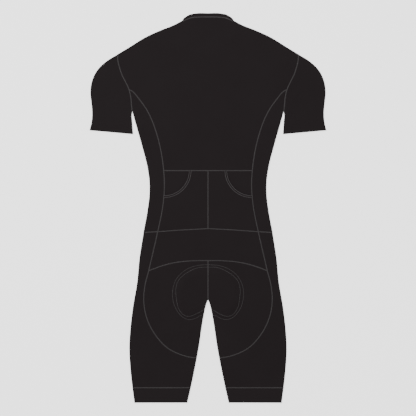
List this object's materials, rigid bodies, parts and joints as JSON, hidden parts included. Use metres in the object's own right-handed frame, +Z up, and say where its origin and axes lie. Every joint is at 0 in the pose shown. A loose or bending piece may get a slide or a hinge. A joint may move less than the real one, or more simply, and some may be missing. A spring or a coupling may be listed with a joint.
{
  "type": "triathlon suit",
  "caption": "Short-sleeved one-piece stretch suit laid flat with its back up: panelled back with a scooped pocket, seat pad, gripped leg hems and a front zip.",
  "frame": {"origin": "on the resting surface, under the middle of the suit as it lies", "axes": "+Y along the body from hem to neck, +Z up out of the back, +X to the wearer's right"},
  "size_m": [0.6276, 1.0324, 0.0091],
  "materials": {
    "body_knit": "black warp-knit stretch fabric, matt with a faint sheen",
    "band_knit": "black elastic band, finely ribbed, matt",
    "binding_tape": "black folded elastic binding, matt",
    "pad_foam": "black brushed fleece over foam",
    "seam_thread": "charcoal flatlock sewing thread",
    "zip_plastic": "black nylon coil and tape",
    "slider_metal": "black lacquered die-cast metal"
  },
  "bodies": {
    "root": {"back_panel": "body_knit", "lower_back_panel": "body_knit", "pocket_panel": "body_knit", "pocket_binding_right": "binding_tape", "pocket_binding_left": "binding_tape", "side_panel_right": "body_knit", "side_panel_left": "body_knit", "front_panel_right": "body_knit", "front_panel_left": "body_knit", "sleeve_right": "body_knit", "sleeve_left": "body_knit", "neck_band": "band_knit", "hip_yoke": "body_knit", "seat_panel_right": "body_knit", "seat_panel_left": "body_knit", "leg_panel_right": "body_knit", "leg_panel_left": "body_knit", "leg_band_right": "band_knit", "leg_band_left": "band_knit", "seat_pad": "pad_foam", "zip_coil": "zip_plastic", "zip_slider": "slider_metal", "zip_pull": "binding_tape"}
  },
  "joints": []
}
